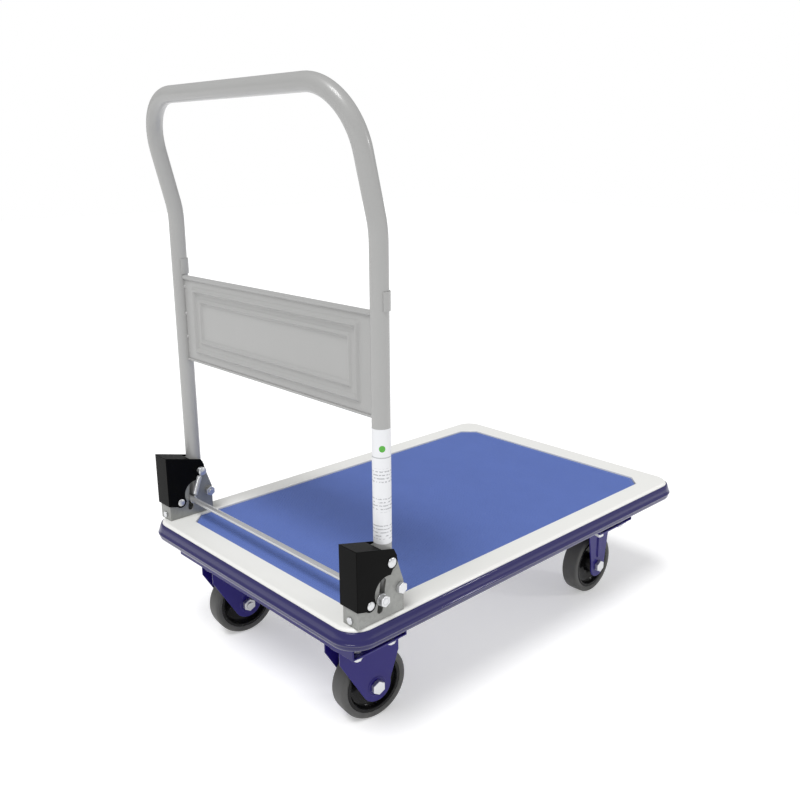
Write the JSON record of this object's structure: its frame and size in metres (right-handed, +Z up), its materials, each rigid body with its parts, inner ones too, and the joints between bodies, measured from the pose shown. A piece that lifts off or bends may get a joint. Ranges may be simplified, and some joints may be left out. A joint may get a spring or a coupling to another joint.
{
  "type": "folding platform cart",
  "caption": "Flat-deck cart with two fixed and two swivel casters and a tubular push handle that folds down over the deck.",
  "frame": {"origin": "on the floor under the middle of the deck", "axes": "+Z up, +Y forward (the handle stands at the -Y end), +X to the right of the person who pushes"},
  "size_m": [0.48, 0.72, 0.8098],
  "materials": {
    "deck_paint": "off-white enamel, smooth",
    "handle_paint": "light grey enamel, semi-gloss",
    "caster_paint": "deep violet-blue enamel, gloss",
    "zinc": "bright zinc plate",
    "bumper_vinyl": "indigo soft vinyl, glossy",
    "mat_rubber": "blue ribbed anti-slip mat, matt",
    "cover_plastic": "black moulded plastic",
    "tyre_rubber": "grey non-marking rubber",
    "hub_plastic": "black moulded nylon",
    "label_vinyl": "white vinyl label, no print"
  },
  "bodies": {
    "cart": {"deck_pan": "deck_paint", "deck_mat": "mat_rubber", "bumper": "bumper_vinyl", "cross_channel_rear": "caster_paint", "cross_channel_front": "caster_paint", "deck_stiffeners": "caster_paint", "foot_tabs": "deck_paint", "bracket_left": "zinc", "bracket_right": "zinc", "cover_left": "cover_plastic", "cover_right": "cover_plastic", "pivot_pins": "zinc", "stop_bolts": "zinc", "stop_nuts": "zinc", "cover_rivets": "zinc", "bracket_bolts": "zinc", "bracket_nuts": "zinc", "foot_screws": "zinc", "return_spring_left": "zinc", "return_spring_right": "zinc", "swivel_plate_left": "caster_paint", "swivel_plate_right": "caster_paint", "kingpin_left": "zinc", "kingpin_right": "zinc", "fixed_fork_left": "caster_paint", "fixed_fork_right": "caster_paint", "front_axle_bolts": "zinc", "front_axle_nuts": "zinc", "caster_bolts": "zinc", "caster_nuts": "zinc"},
    "handle": {"handle_tube": "handle_paint", "back_panel": "handle_paint", "leg_clips": "handle_paint", "leg_label": "label_vinyl"},
    "release": {"release_rod": "zinc", "rod_washers": "zinc", "rod_nuts": "zinc"},
    "swivel_left": {"swivel_fork_left": "caster_paint", "ball_ring_left": "zinc", "rear_axle_bolt_left": "zinc", "rear_axle_nut_left": "zinc"},
    "swivel_right": {"swivel_fork_right": "caster_paint", "ball_ring_right": "zinc", "rear_axle_bolt_right": "zinc", "rear_axle_nut_right": "zinc"},
    "rear_wheel_left": {"rear_tyre_left": "tyre_rubber", "rear_hub_left": "hub_plastic", "rear_bush_left": "zinc"},
    "rear_wheel_right": {"rear_tyre_right": "tyre_rubber", "rear_hub_right": "hub_plastic", "rear_bush_right": "zinc"},
    "front_wheel_left": {"front_tyre_left": "tyre_rubber", "front_hub_left": "hub_plastic", "front_bush_left": "zinc"},
    "front_wheel_right": {"front_tyre_right": "tyre_rubber", "front_hub_right": "hub_plastic", "front_bush_right": "zinc"}
  },
  "joints": [
    {"name": "handle_fold", "type": "hinge", "parent": "cart", "child": "handle", "pos_m": [0, -0.29, 0.257], "axis": [-1, 0, 0], "range_deg": [0, 90]},
    {"name": "rod_press", "type": "slide", "parent": "cart", "child": "release", "axis": [0, -0.1513, -0.9885], "range_m": [0, 0.014], "deforming": ["return_spring_left", "return_spring_right"]},
    {"name": "swivel_left_turn", "type": "hinge", "parent": "cart", "child": "swivel_left", "pos_m": [-0.15, -0.285, 0.119], "axis": [0, 0, 1], "continuous": true},
    {"name": "rear_wheel_left_spin", "type": "hinge", "parent": "swivel_left", "child": "rear_wheel_left", "pos_m": [-0.14728, -0.26115, 0.05], "axis": [0.9936, -0.1132, 0], "continuous": true},
    {"name": "swivel_right_turn", "type": "hinge", "parent": "cart", "child": "swivel_right", "pos_m": [0.15, -0.285, 0.119], "axis": [0, 0, 1], "continuous": true},
    {"name": "rear_wheel_right_spin", "type": "hinge", "parent": "swivel_right", "child": "rear_wheel_right", "pos_m": [0.15334, -0.26123, 0.05], "axis": [0.9903, -0.1392, 0], "continuous": true},
    {"name": "front_wheel_left_spin", "type": "hinge", "parent": "cart", "child": "front_wheel_left", "pos_m": [-0.15, 0.232, 0.05], "axis": [1, 0, 0], "continuous": true},
    {"name": "front_wheel_right_spin", "type": "hinge", "parent": "cart", "child": "front_wheel_right", "pos_m": [0.15, 0.232, 0.05], "axis": [1, 0, 0], "continuous": true}
  ],
  "couplings": [
    {"joint": "rod_press", "follows": "handle_fold", "m_per_rad": 0.00891}
  ]
}
